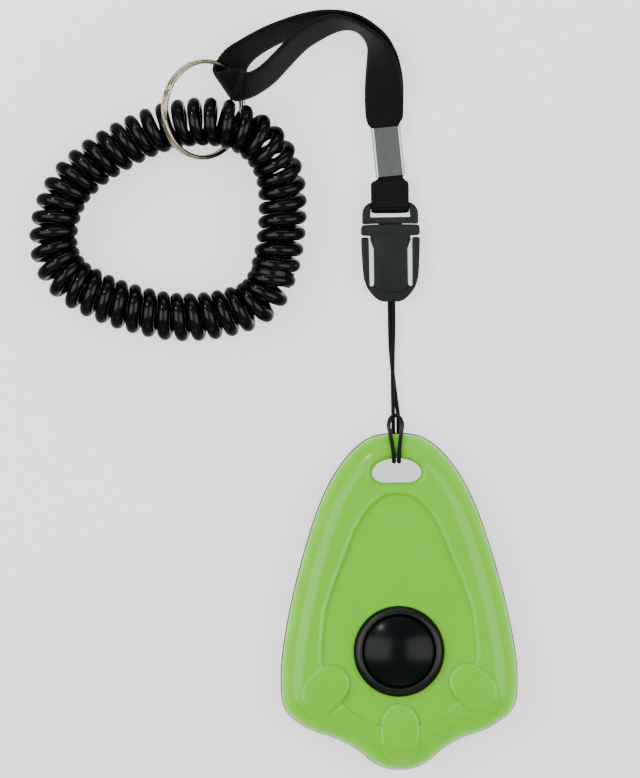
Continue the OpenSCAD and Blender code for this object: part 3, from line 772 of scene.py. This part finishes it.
def make_split_ring():
    """Two turns of flattened wire, whose ends step over each other."""
    turns, per_turn, sides = 2, 220, 16
    count = turns * per_turn
    start, lap_at, lap_over = math.radians(200), 0.93, 0.14
    a = np.linspace(0, 2 * math.pi * turns, count + 1)
    step = ease((a - 2 * math.pi * lap_at) / (2 * math.pi * lap_over))
    r = RING_D / 2 - RING_WIRE_W
    centre = np.column_stack([r * np.cos(a + start), r * np.sin(a + start),
                              RING_TURN_GAP * step - RING_TURN_GAP / 2])
    round_angles = [2 * math.pi * k / sides for k in range(sides)]
    section = [(RING_WIRE_W * flattened(math.cos(t)), RING_WIRE_H * flattened(math.sin(t)))
               for t in round_angles]
    rings = []
    for i, (p, angle) in enumerate(zip(centre, a + start)):
        out = np.array([math.cos(angle), math.sin(angle), 0])
        taper = min(1.0, 0.35 + i / 12, 0.35 + (count - i) / 12)
        rings.append(np.array([p + x * taper * out + np.array([0, 0, z * taper])
                               for x, z in section]))
    obj = solid("two_turn_ring", lofted(rings))
    obj.data.transform(Matrix.Translation(RING_AT * MM)
                       @ Matrix.Rotation(math.radians(-RING_LEAN), 4, "Z")
                       @ Matrix.Rotation(math.radians(RING_TIP), 4, "Y"))
    smooth_by_angle(obj, 50)
    wear(obj, RING_STEEL)
    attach(obj, "ring")
    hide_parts("split_ring")
    return obj


def coil_centre(count):
    """The coil's centre line, closed through the joint."""
    return even(closed_curve(COIL + [JOINT_AT], 12), count, closed=True)


def make_coil():
    """The wrist coil: one helix along the whole loop."""
    per_turn = 40
    count = COIL_TURNS * per_turn
    centre = coil_centre(count)
    along = unit(np.roll(centre, -1, axis=0) - np.roll(centre, 1, axis=0))
    outward = level_right(along)
    up = np.cross(outward, along)
    phi = COIL_PHASE - 2 * math.pi * COIL_TURNS * (np.arange(count) / count)
    r = COIL_D / 2 - COIL_WIRE / 2
    path = centre + r * (np.cos(phi)[:, None] * outward + np.sin(phi)[:, None] * up)
    obj = tube("coiled_cord", path, COIL_WIRE / 2, 18)
    wear(obj, COIL_PVC)
    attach(obj, STRAP)
    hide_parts("wrist_coil")
    return obj, path


def make_coil_joint():
    """The fused web over the coil's two ends: an arched strip across its turns."""
    centre, count = np.array(JOINT_AT), 900
    loop = coil_centre(count)
    near = int(np.argmin(np.linalg.norm(loop - centre, axis=1)))
    along = unit(loop[(near + 4) % count] - loop[near - 4])
    outward = unit(np.array([along[1], -along[0], 0]))
    arch = [math.cos(a) * outward + math.sin(a) * np.array([0, 0, 1.0])
            for a in np.linspace(math.radians(8), math.radians(172), 24)]
    rings = []
    for t in np.linspace(-1, 1, 9):
        r = COIL_D / 2 - 1.5 - 0.35 * t * t
        middle = centre + t * WEB_HALF_L * along
        rings.append(np.array([middle + (r + 0.95) * d for d in arch]
                              + [middle + (r - 0.9) * d for d in reversed(arch)]))
    obj = solid("fused_web", lofted(rings))
    smooth_by_angle(obj, 50)
    wear(obj, COIL_PVC)
    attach(obj, STRAP)
    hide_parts("coil_joint")
    return obj


# ---------------------------------------------------------------- case


def segment_distance(points, line):
    """Each point's distance from a closed line."""
    best = np.full(len(points), 1e9)
    for a, b in zip(line, np.roll(line, -1, axis=0)):
        d = b - a
        size = float(d @ d)
        if size < 1e-12:
            continue
        t = np.clip(((points - a) @ d) / size, 0, 1)
        gap = points - (a + t[:, None] * d)
        best = np.minimum(best, np.einsum("ij,ij->i", gap, gap))
    return np.sqrt(best)


def inside(points, line):
    """Which points lie inside a closed line."""
    hit = np.zeros(len(points), bool)
    x, y = points[:, 0], points[:, 1]
    for (ax, ay), (bx, by) in zip(line, np.roll(line, -1, axis=0)):
        crosses = (ay > y) != (by > y)
        with np.errstate(divide="ignore", invalid="ignore"):
            at = ax + (y - ay) * (bx - ax) / (by - ay)
        hit ^= crosses & (x < at)
    return hit


def signed(points, line):
    """Distance from a closed line, negative inside it."""
    d = segment_distance(points, line)
    return np.where(inside(points, line), -d, d)


def eye_points(grow=0.0):
    """The lanyard eye's outline, a D lying on its straight side."""
    half, shoulder, corner = EYE_W / 2, EYE_LOW + 2.4, 3.2
    up = EYE_HIGH - shoulder
    out = [(half * math.cos(a), shoulder + up * math.sin(a)) for a in np.linspace(0, math.pi, 40)]
    for side, start in ((-1, 180), (1, 270)):
        for a in np.linspace(start, start + 90, 16)[1:-1 if side > 0 else None]:
            t = math.radians(a)
            out.append((side * (half - corner) + corner * math.cos(t),
                        shoulder + (shoulder - EYE_LOW) * math.sin(t)))
    return inset(np.array(out)[::-1], -grow)


def panel_line():
    """The sunken panel's outline: two long sides and an arc round the button."""
    side = open_curve(PANEL, 10)
    around = arc(0, BUTTON_Y, PANEL_R, 10, -190, 90)
    back = [(-x, y) for x, y in side[::-1][:-1]]
    return even(np.vstack([side, around, back]), 240, closed=True)


def pad_shape(points, pad):
    """Each point's share of the way out from a pad's middle; 1 is its outline."""
    x, y, a, b, tilt = pad
    t = math.radians(tilt)
    dx, dy = points[:, 0] - x, points[:, 1] - y
    u = np.abs(dx * math.cos(t) + dy * math.sin(t)) / a
    v = np.abs(-dx * math.sin(t) + dy * math.cos(t)) / b
    return (u**2.3 + v**2.3) ** (1 / 2.3)


def cover_height(points):
    """The front surface's height over the flat crown: panel step, pads and rolled eye rim."""
    step = signed(points, panel_line())
    z = -PANEL_DEPTH * ease((0.1 - step) / 0.6) + 0.15 * np.exp(-(((step - 0.4) / 0.4) ** 2))
    for shape in PADS:
        e = pad_shape(points, shape)
        edge = np.clip((1.0 - e) / 0.16, 0, 1)
        pad = PAD_RISE * np.sqrt(1 - (1 - edge) ** 2) + 0.12 * (1 - np.clip(e, 0, 1) ** 2)
        groove = -0.1 * np.exp(-(((e - 1.05) / 0.05) ** 2))
        z = np.where(e < 1, np.maximum(pad, z), z + groove)
    rim = np.clip((EYE_ROLL - signed(points, eye_points())) / EYE_ROLL, 0, 1)
    return z - EYE_ROLL * (1 - np.sqrt(1 - rim**2))


def eye_wall(low, high):
    """The wall round the lanyard eye, between two heights."""
    return solid("eye_wall", looped([
        level(eye_points(grow), z)
        for grow, z in ((EYE_WALL, low), (EYE_WALL, high), (0.0, high), (0.0, low))
    ]))


def cover_side(line):
    """The cover's outside: a low wall and a rounded shoulder up to the crown."""
    wall_top = CROWN_Z - SHOULDER_H
    rings = [
        level(inset(line, d), z)
        for d, z in ((0.12, SPLIT_Z + SHELL_GAP), (0.0, SPLIT_Z + 0.25), (0.0, SPLIT_Z + 1.2),
                     (0.0, wall_top - 0.6))
    ]
    steps = 30
    for k in range(steps + 1):
        a = math.pi / 2 * k / steps
        rings.append(level(inset(line, SHOULDER_W * (1 - math.cos(a))),
                           wall_top + SHOULDER_H * math.sin(a)))
    return rings


def cover_crown(start, end):
    """Rows from the shoulder's edge in to the button's hole."""
    rows = 118
    return [level(start * (1 - k / rows) + end * (k / rows), CROWN_Z) for k in range(1, rows + 1)]


def make_cover():
    """The green front shell, as one skin: outside, crown, the hole's edge and the inside."""
    line = closed_curve(mirrored(OUTLINE), 18)
    side = cover_side(line)
    start = side[-1][:, :2]
    hole = np.arctan2(start[:, 1] - BUTTON_Y, start[:, 0])
    end = np.column_stack([HOLE_R * np.cos(hole), BUTTON_Y + HOLE_R * np.sin(hole)])
    outside = side + cover_crown(start, end)
    grid = np.vstack(outside)
    top = grid[:, 2] > CROWN_Z - 3.5
    grid[top, 2] += cover_height(grid[top][:, :2])
    under = [level(end, CROWN_Z - CROWN_T)] + [
        level(inset(line, d), z)
        for d, z in ((5.4, CROWN_Z - CROWN_T), (3.2, CROWN_Z - 4.6), (WALL, CROWN_Z - 7),
                     (WALL, SPLIT_Z + SHELL_GAP))
    ]
    obj = solid("green_cover", looped(np.split(grid, len(outside)) + under))
    cut(obj, [prism("eye_cut", eye_points(), SPLIT_Z - 2, CROWN_Z + 3)])
    joined("green_cover", [obj, eye_wall(SPLIT_Z + SHELL_GAP, CROWN_Z - 2.2)])
    smooth_by_angle(obj, 38)
    wear(obj, GREEN)
    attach(obj, BODY)
    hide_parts("cover_shell")


def box_outline(width, near, far):
    """A level rectangle about x = 0, from one y to another."""
    return [(-width / 2, near), (width / 2, near), (width / 2, far), (-width / 2, far)]


def make_base():
    """The back shell with its rounded back edge, screw recesses and the cord's channel."""
    line = closed_curve(mirrored(OUTLINE), 10)
    outlines = []
    steps = 10
    for k in range(steps + 1):
        a = math.pi / 2 * k / steps
        outlines.append(((BASE_CORNER + REVEAL - 0.2) * (1 - math.sin(a)) - REVEAL,
                         BASE_CORNER * (1 - math.cos(a))))
    outlines += [(-REVEAL, 4.0), (-REVEAL, SPLIT_Z - 0.2), (-REVEAL + 0.12, SPLIT_Z - SHELL_GAP),
                 (WALL, SPLIT_Z - SHELL_GAP), (WALL, 2.6), (WALL + 0.8, 1.8)]
    obj = solid("black_base", lofted([level(inset(line, d), z) for d, z in outlines]))
    channel = box_outline(CHANNEL_W, EYE_HIGH - 1.5, CHANNEL_END)
    cut(obj, [prism("eye_cut", eye_points(), -1, SPLIT_Z + 2)]
        + [prism("screw_cut", disc_points(x, y, SCREW_R), -1, SCREW_DEEP) for x, y in SCREWS]
        + [prism("channel_cut", channel, -1, CHANNEL_H)])
    wall = eye_wall(1.0, SPLIT_Z - SHELL_GAP)
    cut(wall, [prism("channel_cut", channel, -1, CHANNEL_H)])
    roof = prism("channel_roof", box_outline(ROOF_W, EYE_HIGH + 0.7, ROOF_END),
                 CHANNEL_H, CHANNEL_H + ROOF_T)
    joined("black_base", [obj, wall, roof])
    smooth_by_angle(obj, 35)
    wear(obj, CASE_BLACK)
    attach(obj, BODY)
    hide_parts("base_shell")


def make_collar():
    """The button's collar: a ring that slopes up to the button."""
    lip, foot, steps = 0.2, SEAT_Z + 0.2, 24
    profile = [(COLLAR_IN, COLLAR_LOW), (COLLAR_NECK, COLLAR_LOW), (COLLAR_NECK, SEAT_Z),
               (COLLAR_OUT, SEAT_Z), (COLLAR_OUT, foot)]
    for k in range(1, steps + 1):
        a = math.radians(86) * k / steps
        profile.append((COLLAR_IN + lip + (COLLAR_OUT - COLLAR_IN - lip) * math.cos(a),
                        foot + COLLAR_RISE * math.sin(a) ** 1.15))
    profile += [(COLLAR_IN + 0.1, SEAT_Z + 1.72), (COLLAR_IN, SEAT_Z + 1.5)]
    obj = solid("button_ring", looped(turned(profile, 200)))
    smooth_by_angle(obj, 40)
    wear(obj, COLLAR_BLACK)
    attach(obj, BODY)
    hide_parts("button_collar")


def make_button():
    """The domed button: stem, flange and skirt, a rounded shoulder and a shallow dome."""
    rim, corner = SEAT_Z + 1.2, 0.6
    profile = [(0.05, 6.92), (0.7, 7.05), (1.2, 7.5), (STEM_R, 8.1), (STEM_R, 8.4), (STEM_R, 12.8),
               (7.5, 12.8), (7.5, 8.2), (FLANGE_R, 8.2), (FLANGE_R, 9.0), (BUTTON_R, 9.0),
               (BUTTON_R, rim - corner)]
    profile += arc(BUTTON_R - corner, rim - corner, corner, 0, 90 * 6 / 7, 7)
    edge_r, edge_z = profile[-1]
    steps = 40
    for k in range(1, steps):
        t = k / steps
        profile.append((edge_r * (1 - t),
                        edge_z + (BUTTON_TOP - edge_z) * (1 - (1 - t) ** 2) ** 0.92))
    profile.append((0.02, BUTTON_TOP))
    obj = solid("domed_button", lofted(turned(profile, 180)))
    smooth_by_angle(obj, 40)
    wear(obj, BUTTON_BLACK)
    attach(obj, "button")
    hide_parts("button_cap")


# ---------------------------------------------------------------- buckle


def buckle_prism(name, points, low, high):
    """A prism in the buckle's own place, with its heights from the buckle's underside."""
    shifted = [(x + BUCKLE_X, y) for x, y in points]
    return prism(name, shifted, BUCKLE_LOW + low, BUCKLE_LOW + high)


def both_sides(half):
    """A half outline and its mirror image, with its ends just off the axis."""
    return list(half) + [(-x, y) for x, y in reversed(half)]


def socket_bottom():
    """The round lower body, with the notches that the squeeze arms grow from."""
    half = [
        (0.01, 71.95), (2.0, 72.0), (3.0, 72.35), (4.0, 73.1), (4.9, 74.1), (5.6, 75.1),
        (5.95, 75.9), (5.3, 76.5), (5.1, 75.9), (4.7, 75.65), (4.2, 75.9), (4.1, 77.0),
        (0.01, 77.0),
    ]
    obj = buckle_prism("lower", both_sides(half), 0.0, BUCKLE_T - 0.75)
    bevel_edges(obj, 0.45)
    return obj


def socket_sleeve():
    """The sleeve over the tongue, with its wide collar, mouth and side windows."""
    half, bar = 4.1, 7.1
    sleeve = [(0.01, 74.3)] + arc(1.6, 76.8, 2.5, -88, 0, 12)
    sleeve += [
        (half, 86.6), (half + 0.25, 87.4), (half + 0.7, 87.85), (bar - 0.5, 87.9),
        (bar - 0.05, 88.25), (bar, 88.7), (bar - 0.05, 89.9), (bar - 0.45, 90.45),
        (3.5, 90.55), (0.01, 90.6),
    ]
    obj = buckle_prism("upper", both_sides(sleeve), 0.25, BUCKLE_T)
    mouth = both_sides([(0.01, 79), (3.3, 79), (3.3, 92), (0.01, 92)])
    window = both_sides([(0.01, 82.6), (6, 82.6), (6, 87.8), (0.01, 87.8)])
    cut(obj, [buckle_prism("mouth", mouth, *SOCKET_HOLLOW),
              buckle_prism("window", window, *SOCKET_HOLLOW)])
    bevel_edges(obj, 0.35)
    return obj


def make_socket():
    """The buckle's lower half, on the clicker's side."""
    bottom = socket_bottom()
    obj = joined("buckle_lower", [socket_sleeve(), bottom])
    wear(obj, BUCKLE)
    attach(obj, BODY)
    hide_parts("buckle_socket")


def make_arm(hand, side):
    """A squeeze arm."""
    outline = [(5.1, 76.0), (5.15, 79), (5.2, 87.0)]
    outline += arc(5.62, 87.05, 0.42, 180, 90, 5) + arc(6.65, 87.0, 0.45, 90, 0, 5)
    outline += [(7.0, 84), (6.8, 80), (6.55, 77.6), (6.1, 76.2), (5.7, 75.2)]
    flipped = [(side * x, y) for x, y in outline]
    obj = buckle_prism(f"squeeze_arm_arm_{hand}", flipped, 0.3, BUCKLE_T - 0.45)
    bevel_edges(obj, 0.35)
    wear(obj, BUCKLE)
    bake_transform(obj)
    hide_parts(f"release_arm_{hand}")


def loop_body():
    """The upper half's block, with the slot for the webbing and a thin bar."""
    half = 6.75
    body = [
        (0.01, 90.8), (3.5, 90.75), (half - 0.3, 90.65), (half, 90.95), (half, 93.0),
        (half - 0.15, 94.0), (half - 0.7, 95.0), (half - 1.5, 95.65), (half - 2.4, 95.9),
        (0.01, 95.9),
    ]
    obj = buckle_prism("loop", both_sides(body), 0.55, BUCKLE_T - 0.35)
    slot = both_sides([(0.01, 92.3), (4.8, 92.3), (4.65, 94.2), (4.4, 94.6), (0.01, 94.6)])
    thin = box_outline(9.5, 93.6, 98)
    cut(obj, [buckle_prism("slot", slot, -1, 6), buckle_prism("thin_low", thin, -1, TONGUE_LOW),
              buckle_prism("thin_high", thin, TONGUE_LOW + TONGUE_T, 6)])
    bevel_edges(obj, 0.32)
    return obj


def make_loop():
    """The buckle's upper half, on the strap's side, with its tongue."""
    body = loop_body()
    half = [(0.01, 80.3), (2.6, 80.3), (2.9, 80.7), (2.9, 81.8), (1.9, 82.2), (1.9, 88.3),
            (2.9, 88.5), (2.9, 91.4), (0.01, 91.4)]
    tongue = buckle_prism("tongue", both_sides(half), TONGUE_LOW, TONGUE_LOW + TONGUE_T)
    bevel_edges(tongue, 0.15)
    obj = joined("buckle_upper", [body, tongue])
    wear(obj, BUCKLE)
    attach(obj, STRAP)
    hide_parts("buckle_loop")
    return obj


def make_prong(hand, side):
    """A latch prong."""
    half = [(2.1, 81.8), (3.0, 81.8), (4.2, 85.0), (4.9, 86.9), (4.9, 87.7), (4.0, 87.7),
            (2.1, 83.4)]
    points = [(side * x, y) for x, y in half]
    obj = buckle_prism(f"barb_{hand}", points, TONGUE_LOW, TONGUE_LOW + TONGUE_T)
    bevel_edges(obj, 0.12, 2)
    wear(obj, PRONG)
    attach(obj, STRAP)
    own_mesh(obj)
    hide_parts(f"latch_prong_{hand}")
    return obj


def dress_cad():
    """Materials for the CAD nodes that stay as they are."""
    for node, material in {
        "click_plate": SPRING_STEEL, "plate_root": SPRING_STEEL, "plate_clamp": SCREW_STEEL,
        "plate_screws": SCREW_STEEL, "case_screws": SCREW_STEEL, "cord_knot": CORD,
    }.items():
        obj = bpy.data.objects[node]
        for slot in obj.material_slots:
            slot.material = material
        if not obj.material_slots:
            obj.data.materials.append(material)


# ---------------------------------------------------------------- stage

FLOOR_HALF, FLOOR_Z, FLOOR_GLOW = 3000, -0.05, 1.1
SKY_GLOW = 0.3
LIGHTS_AIM = (-0.02, 0.05, 0)
# Each light's place and size in metres, and its watts
LIGHTS = {
    "left_box": ((-0.78, 0.1, 0.86), (0.8, 1.2), 9),
    "right_box": ((0.78, 0.05, 0.86), (0.8, 1.2), 8),
    "far_strip": ((0, 1.15, 0.4), (0.9, 0.2), 2.2),
    "near_strip": ((0, -1.05, 0.4), (0.9, 0.15), 0.9),
    "key": ((-0.47, 0.62, 0.55), (0.05, 0.05), 1.4),
}


def make_stage():
    """A large sheet of white paper under the object."""
    corners = [(-FLOOR_HALF, -FLOOR_HALF), (FLOOR_HALF, -FLOOR_HALF),
               (FLOOR_HALF, FLOOR_HALF), (-FLOOR_HALF, FLOOR_HALF)]
    floor = new_object("floor", level(corners, FLOOR_Z), [(0, 1, 2, 3)], smooth=False)
    n = Nodes("floor_paper")
    n.colour(n.ramp(n.noise(6, 2), [(0.4, (0.84, 0.84, 0.84)), (0.6, (0.86, 0.86, 0.86))]))
    n.set(Roughness=0.9, Emission_Color=(1, 1, 1, 1), Emission_Strength=FLOOR_GLOW,
          Specular_IOR_Level=0.1)
    floor.data.materials.append(n.material)


def area_light(name, place, size, power):
    """A rectangular light that aims at LIGHTS_AIM."""
    data = bpy.data.lights.new(name, "AREA")
    data.shape = "RECTANGLE"
    data.size, data.size_y = size
    data.energy = power
    light = bpy.data.objects.new(name, data)
    bpy.context.scene.collection.objects.link(light)
    light.location = place
    aim = Vector(LIGHTS_AIM) - Vector(place)
    light.rotation_euler = aim.to_track_quat("-Z", "Y").to_euler()


def make_lights():
    world = bpy.data.worlds.new("studio")
    bpy.context.scene.world = world
    world.use_nodes = True
    sky = world.node_tree.nodes["Background"]
    sky.inputs["Color"].default_value = (1, 1, 1, 1)
    sky.inputs["Strength"].default_value = SKY_GLOW
    for name, values in LIGHTS.items():
        area_light(name, *values)


make_cord()
TAB = make_tab()
CRIMP = make_crimp()
RING = make_split_ring()
COIL_OBJ, COIL_PATH = make_coil()
JOINT = make_coil_joint()
make_socket()
LOOP = make_loop()
for arm, toward in HANDS.items():
    make_arm(arm, toward)
BARBS = [make_prong(arm, toward) for arm, toward in HANDS.items()]
make_strand("strap_upper_strand", "strap_front", FRONT, True)
make_strand("strap_lower_strand", "strap_rear", REAR, False)
make_cover()
make_base()
make_collar()
make_button()
dress_cad()
make_stage()
make_lights()
